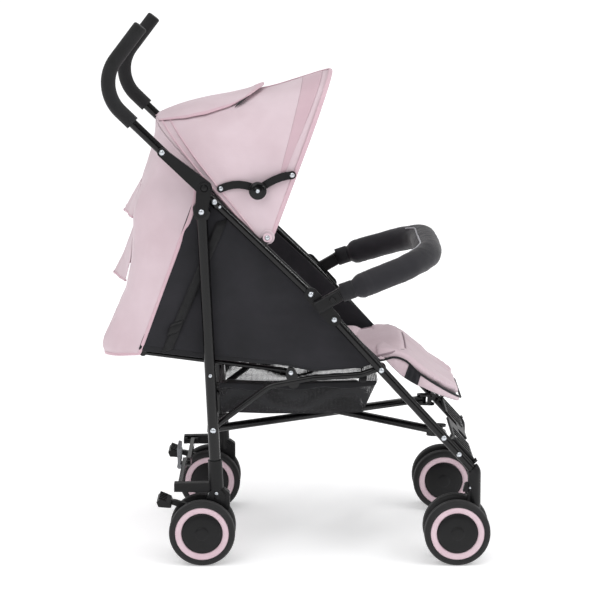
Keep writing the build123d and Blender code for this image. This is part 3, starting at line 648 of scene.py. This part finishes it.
def curtainPoint(share, down, lift=0.0):
    # share from -1 on the right hem round the back to 1 on the left hem
    size = abs(share)
    sideSign = -1 if share < 0 else 1
    top = canopyPoint(rearEnd, sideSign * max(1e-5, curtain["topShare"] * size), -1.5) / mm
    hem = alongLine(curtain["hem"], down)
    z = top.z + (curtain["bottomZ"] - top.z) * down
    backX = heightCurve(z, curtain["back"])
    spread = min(1.0, down * 2.8)
    spread = spread * spread * (3 - 2 * spread)
    corner, flat = curtain["corner"], curtain["flat"]
    turn = max(0.0, (size - corner) / (1 - corner))
    if size < corner:
        y = curtain["halfWidth"] * size / corner * flat
        x = backX
    else:
        y = curtain["halfWidth"] * (flat + (1 - flat) * math.sin(min(1.0, turn * 1.6) * math.pi / 2))
        x = backX + (hem.x - backX) * turn ** 1.35
        z += (hem.z - z) * 0.65 * turn * spread
    x = top.x * (1 - spread) + x * spread
    y = sideSign * (abs(top.y) * (1 - spread) + y * spread)
    point = Vector((x, y, z)) * mm
    fold = wrinkle((point.x, point.y * 1.6, point.z * 0.4), 0.06, curtain["fold"] * mm, 7.0)
    fold *= min(1.0, down * 3)
    droop = curtain["fold"] * mm * math.sin(z * 0.045 + 4 * turn) * turn * (1 - turn) * 2.2
    outward = Vector((-1.0, 0.0, 0.0))
    if size >= 0.5:
        outward = Vector((size - 1.0, sideSign * size, 0.0)).normalized()
    if size > 0.7:  # next to the frame the folds only go inward
        fold = min(0.0, fold) * 0.6
    return point + outward * (fold + droop + lift * mm)


rows = [[curtainPoint(-1 + 2 * column / 72, line / 44) for column in range(73)] for line in range(45)]
curtainPiece = gridSheet("rearCurtain", rows, pinkCanvas, "right_frame", curtain["cloth"] * mm, 1)
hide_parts("rear_curtain")
curtainParts = [curtainPiece]
for side, sign in sides:
    rows = [[curtainPoint(sign * share, line / 36, 0.8) for share in (1.005, 0.993, 0.983, 0.975)]
            for line in range(2, 37)]
    curtainParts.append(gridSheet(side + "CurtainHem", rows, pinkBinding, "right_frame",
                                  curtain["hemCloth"] * mm, 1))
rows = [[curtainPoint(-1 + 2 * column / 72, down, 0.8) for column in range(73)]
        for down in (1.003, 0.994, 0.987)]
curtainParts.append(gridSheet("curtainBottomHem", rows, pinkBinding, "right_frame",
                              curtain["hemCloth"] * mm, 1))
for label, (topShare, lowShare, standOff, reach) in curtain["flaps"].items():
    rows = []
    for line in range(17):
        part = line / 16
        rows.append([])
        for column in range(31):
            outer = abs(column / 15 - 1)  # the sides of the flap curve back to the curtain
            lift = 1.6 + standOff * part ** 1.25 * (1 - 0.86 * outer ** 2.4)
            lift += 1.4 * part * math.sin(column * 0.8)
            rows[-1].append(curtainPoint(-reach + 2 * reach * column / 30,
                                         topShare + (lowShare - topShare) * part, lift))
    curtainParts.append(gridSheet(label + "CurtainFlap", rows, pinkCanvas, "right_frame",
                                  curtain["flapCloth"] * mm, 1))
    curtainParts.append(roundTube(label + "CurtainFlapHem", rows[-1], curtain["cord"] * mm, pinkBinding,
                                  "right_frame", 8))
for piece in curtainParts:
    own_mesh(piece)
print("curtain done")

# side panels of the seat, each on its own side of the frame, with the recline strap outside
panel = {"y": 187.0, "cloth": 1.6, "sag": 5.0,  # edges in side view, from the back to the front
         "low": [(-374, 421), (-244, 405), (-88, 391), (-33, 379), (60, 386), (100, 400)],
         "top": [(-256, 738), (-37, 536), (99, 402)],
         "strap": [(-208, 676), (-257, 562), (-290, 485), (-305, 449), (-317, 420)], "strapHalf": 11.0,
         "strapLean": 0.35}


def panelPoint(along, up, sign, lift=0.0):
    point = alongLine(panel["low"], along).lerp(alongLine(panel["top"], along), up)
    inner = math.sin(math.pi * up) * math.sin(math.pi * along)
    fold = wrinkle((point.x * mm, 0.0, point.z * mm * 1.8), 0.055, 3.4, 11.0)
    fold += wrinkle((point.x * mm, 0.0, point.z * mm * 0.5), 0.11, 9.0, 4.0)
    y = panel["y"] - inner * (panel["sag"] + fold) + lift
    return Vector((point.x, sign * y, point.z)) * mm


for side, sign in sides:
    rows = [[panelPoint(column / 48, line / 30, sign) for column in range(49)] for line in range(31)]
    sidePanel = gridSheet(side + "SidePanel", rows, blackCanvas, side + "_frame", panel["cloth"] * mm, 1)
    if sign < 0:
        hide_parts("seat_sling")
    hemRows = [[panelPoint(column / 48, up, sign, 0.9) for column in range(49)] for up in (0.0, 0.02, 0.04)]
    gridSheet(side + "PanelHem", hemRows, blackBinding, side + "_frame", 1.8 * mm, 1)
    # recline strap: down from under the tube, through a buckle, to the end of the recline arm
    half, lean = panel["strapHalf"], panel["strapLean"]
    strapLine = smoothLine([(x, 0, z) for x, z in panel["strap"]], 8)
    rows = [[Vector((point.x * mm + shift * mm, sign * 189.4 * mm, point.z * mm + shift * lean * mm))
             for shift in (-half, -half / 2, 0.0, half / 2, half)] for point in strapLine]
    gridSheet(side + "ReclineStrap", rows, strapWeb, side + "_frame", 1.2 * mm, 0)
    buckle = []
    for height in range(5):
        bulge = 1.6 if 0 < height < 4 else 0
        buckle.append([Vector((-296 + shift - height * 2.2, sign * (190.6 + bulge),
                               478 - height * 6.0 + shift * lean)) * mm
                       for shift in (-half - 2, -half, 0, half, half + 2)])
    gridSheet(side + "ReclineBuckle", buckle, blackPlastic, side + "_frame", 3.0 * mm, 1)
print("side panels done")

# floor of the seat and pads, in side view from the back to the front
seat = {"floorHalf": 183.0, "backHalf": 163.0, "padHalf": 160.0, "cloth": 2.0,
        "backLine": [(-366, 425), (-244, 406.5), (-88, 392.5)],
        "seatLine": [(-88, 392.5), (-33, 379.5), (60, 386.5), (86, 398.5)],
        "seatPad": [(-86, 396), (-60, 390), (-33, 384), (20, 387), (60, 391), (76, 397), (77, 403), (66, 406),
                    (40, 404), (0, 400), (-40, 398), (-84, 408)],
        "backPad": [(-350, 426), (-244, 410.5), (-94, 396), (-90, 404), (-94, 411), (-244, 424), (-340, 441),
                    (-352, 436)]}


def floorSheet(name, line, half, body):
    rows = [[alongLine(line, column / 20) * mm + Vector((0, half * (part / 7 - 1) * mm, 0))
             for column in range(21)] for part in range(15)]
    return gridSheet(name, rows, blackCanvas, body, seat["cloth"] * mm, 1)


seatFloor = floorSheet("seatFloor", seat["seatLine"], seat["floorHalf"], "right_frame")
backFloor = floorSheet("backFloor", seat["backLine"], seat["backHalf"], "right_recline")


def padBlock(name, outline, half, body, columns=12):
    # pillow-like block from its side outline, thinner at both ends
    centreX = sum(x for x, z in outline) / len(outline)
    centreZ = sum(z for x, z in outline) / len(outline)
    rows = []
    for part in range(columns + 1):
        share = part / columns
        atEnd = min(share, 1 - share) * columns < 1  # rounding may take in one more row at the far end
        short, thin = (0.985, 0.72) if atEnd else (1.0, 1.0)
        rows.append([Vector(((centreX + (x - centreX) * short) * mm, half * mm * (2 * share - 1),
                             (centreZ + (z - centreZ) * thin) * mm)) for x, z in outline])
    return gridPiece(name, rows, pinkCanvas, body, True, True)


def sewnLines(piece, places, depth, axis, width=0.009):
    # press channels into the top where the lines of stitching run
    for vertex in piece.data.vertices:
        for place in places:
            gap = abs(vertex.co[axis] - place)
            if gap < width:
                vertex.co.z -= depth * (0.5 + 0.5 * math.cos(math.pi * gap / width))


seatPad = padBlock("seatPad", seat["seatPad"], seat["padHalf"], "right_frame")
swell(seatPad, 0.006, 0.006)
sewnLines(seatPad, (-0.08, 0.0, 0.08), 0.003, 1)
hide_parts("seat_pad")
backPad = padBlock("backPad", seat["backPad"], seat["padHalf"], "right_recline", 14)
swell(backPad, 0.006, 0.006)
sewnLines(backPad, (-0.30, -0.22, -0.15), 0.003, 0)

# leg rest: thin padded top, piped edge, gathered side strip with a dark pocket
restShape = {"half": 150.0, "piping": 2.2, "tipHalf": 84.0, "round": (186.0, 264.0), "tipDrop": 11.0,
             "outline": [(88, 402), (106, 402), (130, 397), (152, 384), (181, 362), (221, 339), (258, 317),
                         (264, 318), (262, 327), (222, 350), (182, 375), (154, 398), (132, 409), (106, 412),
                         (90, 411)],
             "edge": [(90, 392), (108, 395), (128, 400), (151, 392), (178, 367), (221, 342), (262, 317)],
             "low": [(96, 405), (108, 399), (117, 387), (145, 360), (173, 343), (232, 321), (260, 309)],
             "pocket": (0.36, 0.52)}


def restRound(point):
    # rounded front corners: narrower and a little lower towards the tip
    begin, end = restShape["round"]
    share = min(1.0, max(0.0, (point.x / mm - begin) / (end - begin)))
    narrow = restShape["tipHalf"] / restShape["half"]
    point.y *= 1 - (1 - narrow) * share ** 1.3
    point.z -= restShape["tipDrop"] * mm * math.sin(share * math.pi / 2)
    return point


legRest = padBlock("legRest", restShape["outline"], restShape["half"], "leg_rest", 22)
for vertex in legRest.data.vertices:
    vertex.co = restRound(vertex.co.copy())
swell(legRest, 0.005, 0.005)
sewnLines(legRest, (-0.05, 0.05), 0.0022, 1)
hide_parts("leg_rest")
restParts = []


def restEdge(share, drop):
    # from the piped edge down to the gathered lower line
    return alongLine(restShape["edge"], share).lerp(alongLine(restShape["low"], share), drop)


rows = []
for part in range(41):
    y = restShape["half"] * (2 * part / 40 - 1)
    gather = 2.5 * math.sin(part * 1.35) * math.sin(math.pi * part / 40)
    rows.append([])
    for column in range(19):
        spot = restEdge(column / 18, 1.0)
        z = spot.z + gather * math.sin(math.pi * column / 18)
        rows[-1].append(restRound(Vector((spot.x, y, z)) * mm))
restParts.append(gridSheet("legRestUnderside", rows, blackCanvas, "leg_rest", 1.8 * mm, 1))


def restGusset(name, sign, first, last, material, stand):
    # side strip with pleats between the piped edge and the lower line
    rows = []
    for line in range(7):
        rows.append([])
        for column in range(37):
            share = first + (last - first) * column / 36
            spot = restEdge(share, line / 6)
            pleat = 1.6 * math.sin(share * 95) * math.sin(math.pi * line / 6)
            bulge = 2.5 * math.sin(math.pi * line / 6) + pleat + stand
            rows[-1].append(restRound(Vector((spot.x, sign * (restShape["half"] + bulge), spot.z)) * mm))
    restParts.append(gridSheet(name, rows, material, "leg_rest", 1.4 * mm, 1))


for side, sign in sides:
    restGusset(side + "LegRestGusset", sign, 0.02, 1.0, pinkCanvas, 0.0)
    restGusset(side + "LegRestPocket", sign, restShape["pocket"][0], restShape["pocket"][1], blackCanvas, 1.8)
    pipingY = sign * (restShape["half"] + 2)
    edgeLine = smoothLine([Vector((x, pipingY, z)) * mm for x, z in restShape["edge"]], 6)
    edgeLine = [restRound(point) for point in edgeLine]
    restParts.append(roundTube(side + "LegRestPiping", edgeLine, restShape["piping"] * mm, blackBinding,
                               "leg_rest", 8))
tipLine = [restRound(Vector((264, (restShape["half"] + 2) * (step / 10 - 1), 316)) * mm)
           for step in range(21)]
restParts.append(roundTube("legRestTipPiping", tipLine, restShape["piping"] * mm, blackBinding,
                           "leg_rest", 8))

# front of the seat cover: a padded flap over the hinge that lies on the leg rest and moves with it
frontFlap = {"line": [(58, 407), (78, 410), (104, 416), (128, 420), (145, 419), (153, 411)], "half": 150.0,
             "cornerHalf": 92.0, "roundFrom": 100.0, "cloth": 4.5, "sideDrop": 11.0, "piping": 1.9}
frontRows = []
for line in range(15):
    spot = alongLine(frontFlap["line"], line / 14)
    tipX = frontFlap["line"][-1][0]
    share = max(0.0, (spot.x - frontFlap["roundFrom"]) / (tipX - frontFlap["roundFrom"]))
    half = frontFlap["half"] - (frontFlap["half"] - frontFlap["cornerHalf"]) * share ** 2.6
    frontRows.append([])
    for column in range(25):
        out = column / 12 - 1
        drop = frontFlap["sideDrop"] * abs(out) ** 2.6
        frontRows[-1].append(Vector((spot.x, half * out, spot.z - drop)) * mm)
seatFront = gridSheet("seatFront", frontRows, pinkCanvas, "leg_rest", frontFlap["cloth"] * mm, 1, offset=-1.0)
frontEdge = [row[0] for row in frontRows] + frontRows[-1][1:-1] + [row[-1] for row in reversed(frontRows)]
seatFrontPiping = roundTube("seatFrontPiping", frontEdge, frontFlap["piping"] * mm, greyPinkPiping,
                            "leg_rest", 8)
for piece in [backFloor, backPad, seatFloor, seatPad, seatFront, seatFrontPiping, legRest] + restParts:
    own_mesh(piece)
print("pads done")

# bumper bar: foam in a black cover, thicker over the front
bumper = {"start": (30.0, 543.3), "rise": 19.0, "front": 197.0, "half": 220.0, "corner": 124.0,
          "endRadius": 17.0, "sideRadius": 24.5, "frontRadius": 27.0, "pipingAngle": 132.0,
          "seamAngle": -95.0, "cuff": (5, 9),  # in steps along the line
          "sleeve": 9.0, "narrow": 16.0, "narrowRun": 90.0}


def bumperPath():
    # up along one side, round the corner, across and back
    slope = math.radians(bumper["rise"])
    reach = (bumper["front"] - bumper["start"][0]) / math.cos(slope)
    straight = reach - bumper["corner"]
    flat = [(straight * step / 14 - bumper["sleeve"] * (step == 0), -bumper["half"]) for step in range(14)]
    for step in range(15):
        turn = math.pi / 2 * step / 14
        flat.append((straight + bumper["corner"] * math.sin(turn),
                     -bumper["half"] + bumper["corner"] * (1 - math.cos(turn))))
    inner = bumper["half"] - bumper["corner"]
    flat += [(reach, -inner + inner * step / 10) for step in range(1, 11)]
    flat += [(u, -y) for u, y in reversed(flat[:-1])]
    line = []
    for u, y in flat:  # drawn in a little behind the sockets
        ease = math.sin(min(1.0, max(0.0, u / bumper["narrowRun"])) * math.pi / 2) ** 2
        line.append(Vector((bumper["start"][0] + u * math.cos(slope),
                            y * (1 - bumper["narrow"] / bumper["half"] * ease),
                            bumper["start"][1] + u * math.sin(slope))) * mm)
    return line


bumperLine = bumperPath()
bumperSpan = len(bumperLine) - 1
bumperRadii = []
for index in range(bumperSpan + 1):
    share = index / bumperSpan
    first, last = bumper["cuff"]
    opening = min(1.0, max(0.0, (min(index, bumperSpan - index) - first) / (last - first)))
    opening = math.sin(opening * math.pi / 2)
    radius = bumper["endRadius"] + (bumper["sideRadius"] - bumper["endRadius"]) * opening
    radius += (bumper["frontRadius"] - bumper["sideRadius"]) * math.sin(math.pi * share) ** 8
    bumperRadii.append((radius + 0.35 * math.sin(index * 2.3) * opening) * mm)


def bumperFrame(index):
    ahead = (bumperLine[min(index + 1, bumperSpan)] - bumperLine[max(index - 1, 0)]).normalized()
    across = ahead.cross(Vector((0, 0, 1))).normalized()
    return across, across.cross(ahead).normalized()


def bumperSeam(name, angle, material, radius, first=0.03, last=0.97):
    line = []
    for index in range(int(first * bumperSpan), int(last * bumperSpan) + 1):
        across, top = bumperFrame(index)
        reach = bumperRadii[index] * 0.99
        line.append(bumperLine[index] + across * (reach * math.cos(angle)) + top * (reach * math.sin(angle)))
    return roundTube(name, smoothLine(line, 3), radius * mm, material, "right_bumper", 8)


bumperCover = roundTube("bumperCover", bumperLine, bumperRadii, blackCanvas, "right_bumper", 28)
smoothPiece(bumperCover, 1)
for vertex in bumperCover.data.vertices:
    vertex.co += vertex.normal * wrinkle(vertex.co, 0.03, 1.1 * mm, 2.0)
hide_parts("bumper_pad")
bumperParts = [bumperCover,
               bumperSeam("bumperPiping", math.radians(bumper["pipingAngle"]), greyPiping, 1.7, 0.3, 0.7),
               bumperSeam("bumperSeam", math.radians(bumper["seamAngle"]), blackBinding, 1.1)]
for label, run in (("Right", bumperLine[:5]), ("Left", bumperLine[-5:])):
    bumperParts.append(roundTube("bumperCuff" + label, run, (bumper["endRadius"] + 1.0) * mm, blackBinding,
                                 "right_bumper", 28))
for piece in bumperParts:
    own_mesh(piece)
print("bumper done")

# basket: knitted mesh bag with solid hems and four loops over the side rails
basket = {"half": 156.0, "hem": 1.6, "floor": 1.6,
          "rim": [(-219, 350), (-120, 347), (0, 352), (95, 354)],
          "low": [(-213, 290), (-120, 287), (0, 287), (66, 289)],
          "loops": (("Rear", -119, 346), ("Front", 65, 358)),
          "loopShape": ((156, -14), (158, 0), (166, 10), (174, 9), (174.5, -4))}  # distance out, height


def basketPoint(along, down, sign, bulge=4.0):
    spot = alongLine(basket["rim"], along).lerp(alongLine(basket["low"], along), down)
    wave = bulge * 0.4 * math.sin(math.pi * along * 3) * math.sin(math.pi * down)
    ripple = 2.5 * math.sin(along * 21) if 0.1 < down < 0.9 else 0
    return Vector((spot.x, sign * (basket["half"] - 3 * down ** 2 - wave), spot.z + ripple)) * mm


basketParts = []
for side, sign in sides:
    rows = [[basketPoint(column / 30, line / 10, sign) for column in range(31)] for line in range(11)]
    basketParts.append(gridSheet(side + "BasketSide", rows, basketMesh, "right_frame", 0, 1))
    rows = [[basketPoint(column / 30, down, sign, 0) + Vector((0, sign * 0.0008, 0)) for column in range(31)]
            for down in (0.0, 0.1, 0.2)]
    basketParts.append(gridSheet(side + "BasketHem", rows, blackBinding, "right_frame",
                                 basket["hem"] * mm, 1))
    for label, loopX, loopZ in basket["loops"]:
        rows = [[Vector((loopX + shift, sign * y, z + loopZ)) * mm for shift in (-8, 0, 8)]
                for y, z in basket["loopShape"]]
        basketParts.append(gridSheet(side + "BasketLoop" + label, rows, strapWeb, "right_frame", 1.2 * mm, 1))
floorRows = []
for line in range(15):
    edges = [basketPoint(column / 30, 1.0, -1, 0) for column in range(31)]
    floorRows.append([Vector((edge.x, edge.y * (1 - 2 * line / 14), edge.z)) for edge in edges])
basketFloor = gridSheet("basketFloor", floorRows, blackCanvas, "right_frame", basket["floor"] * mm, 1)
for label, along in (("Front", 1.0), ("Rear", 0.0)):
    rows = []
    for line in range(11):
        edge = basketPoint(along, line / 10, -1, 0)
        rows.append([Vector((edge.x, edge.y * (1 - 2 * part / 16), edge.z)) for part in range(17)])
    basketParts.append(gridSheet("basket" + label, rows, basketMesh, "right_frame", 0, 1))
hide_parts("basket")
basketParts.append(basketFloor)
for piece in basketParts:
    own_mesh(piece)
print("basket done")

# harness: waist, crotch and shoulder straps with one buckle
harness = {"strapHalf": 12.5, "waistHalf": 12.0, "cloth": 1.4, "buckleCloth": 3.0,
           "waist": ((-150, 412), (-90, 415), (-20, 419), (20, 419), (90, 415), (150, 412)),
           "crotch": ((32, 427), (0, 421), (-30, 420)),
           "shoulder": ((-58, 44, 421), (-96, 50, 417), (-170, 50, 424), (-244, 50, 430.5))}


def strapRun(name, points, half, body, across=(0, 1, 0)):
    line = smoothLine([Vector(point) * mm for point in points], 6)
    rows = [[point + Vector(across) * (shift * half * mm) for shift in (-1, -0.5, 0, 0.5, 1)]
            for point in line]
    return gridSheet(name, rows, strapWeb, body, harness["cloth"] * mm, 0)


waist = [strapRun("waistStrap", [(-52, y, z) for y, z in harness["waist"]], harness["waistHalf"],
                  "right_frame", (1, 0, 0))]
waist.append(strapRun("crotchStrap", [(x, 0, z) for x, z in harness["crotch"]], harness["strapHalf"],
                      "right_frame"))
buckleRows = []
for line in range(9):
    part = line / 8
    half = 22 * (1 - 0.25 * abs(2 * part - 1) ** 3)
    dome = 5.5 * math.sin(math.pi * part) ** 0.5
    buckleRows.append([Vector((-52 + 42 * part, half * shift, 421 + dome * (1 - shift ** 4))) * mm
                       for shift in (-1, -0.7, -0.35, 0, 0.35, 0.7, 1)])
waist.append(gridSheet("harnessBuckle", buckleRows, blackPlastic, "right_frame",
                       harness["buckleCloth"] * mm, 1, offset=-1.0))
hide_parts("harness")
for piece in waist:
    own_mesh(piece)
for side, sign in sides:
    shoulder = strapRun(side + "ShoulderStrap", [(x, sign * y, z) for x, y, z in harness["shoulder"]],
                        harness["strapHalf"], "right_recline")
    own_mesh(shoulder)
print("harness done")

# studio: pale floor, soft light, long lens from the side
studio = {"paper": ("F2F2F3", "F7F7F8"), "world": "FFFFFF", "worldStrength": 0.46, "backStrength": 0.16,
          "skyStrength": 1.6, "skyAngle": 80.0, "keyPower": 16.0, "sidePower": 8.0, "stripPower": 22.0,
          "floorGlow": 0.34}
bpy.context.scene.view_settings.view_transform = "Standard"  # product shot: white paper stays white
floorMesh = bpy.data.meshes.new("studioFloor")
floorMesh.from_pydata([(-30, -30, 0), (30, -30, 0), (30, 30, 0), (-30, 30, 0)], [], [(0, 1, 2, 3)])
floorPiece = bpy.data.objects.new("studioFloor", floorMesh)
bpy.context.scene.collection.objects.link(floorPiece)
paper, tree, shader, place = startMaterial("whitePaperFloor", Roughness=0.9, Specular_IOR_Level=0.1)
colourPatches(tree, shader, place, *studio["paper"], 900)
shader.inputs["Emission Color"].default_value = linearColour("FFFFFF")
shader.inputs["Emission Strength"].default_value = studio["floorGlow"]  # a faint glow opens the shadow
floorMesh.materials.append(paper)
world = bpy.data.worlds.new("studioWorld")
bpy.context.scene.world = world
world.use_nodes = True
worldTree = world.node_tree
background = worldTree.nodes["Background"]
background.inputs["Color"].default_value = linearColour(studio["world"])
direction = addNode(worldTree, "ShaderNodeTexCoord").outputs["Generated"]
split = addNode(worldTree, "ShaderNodeSeparateXYZ", None, {0: direction})
# darker on the near side, like dark cards beside the lens
addNode(worldTree, "ShaderNodeMapRange", None,
        {"Value": split.outputs["Y"], "From Min": -1.0, "From Max": 0.1, "To Min": studio["backStrength"],
         "To Max": studio["worldStrength"]}, {"Result": background.inputs["Strength"]})


def softLight(name, place, target, size, power, height=None):
    light = bpy.data.lights.new(name, "AREA")
    light.size = size
    if height:
        light.shape = "RECTANGLE"
        light.size_y = height
    light.energy = power
    lamp = bpy.data.objects.new(name, light)
    lamp.location = place
    lamp.rotation_euler = (Vector(target) - Vector(place)).to_track_quat("-Z", "Y").to_euler()
    bpy.context.scene.collection.objects.link(lamp)


softLight("keyLight", (-1.4, -2.8, 2.2), (0, 0, 0.5), 1.6, studio["keyPower"])
softLight("sideLight", (2.6, -1.6, 1.4), (0, 0, 0.5), 1.2, studio["sidePower"])
# a long thin lamp draws the light line along the tubes
softLight("stripLight", (2.3, -1.2, 2.4), (0, 0, 0.5), 2.4, studio["stripPower"], 0.1)
sky = bpy.data.lights.new("skyPanel", "SUN")  # large soft panel overhead
sky.energy = studio["skyStrength"]
sky.angle = math.radians(studio["skyAngle"])
skyPiece = bpy.data.objects.new("skyPanel", sky)
skyPiece.rotation_euler = (math.radians(14), math.radians(-8), 0)
bpy.context.scene.collection.objects.link(skyPiece)

lens = {"place": (-0.0695, -4.3119, 1.2558), "pitch": 10.105, "yaw": 0.158, "pixels": 2159.0}
camera = bpy.data.cameras.new("camera")
camera.sensor_width = 36.0
camera.lens = lens["pixels"] * 36.0 / 600
cameraPiece = bpy.data.objects.new("camera", camera)
cameraPiece.location = lens["place"]
cameraPiece.rotation_euler = (math.radians(90 - lens["pitch"]), 0, math.radians(-lens["yaw"]))
bpy.context.scene.collection.objects.link(cameraPiece)
bpy.context.scene.camera = cameraPiece

print("stage done")
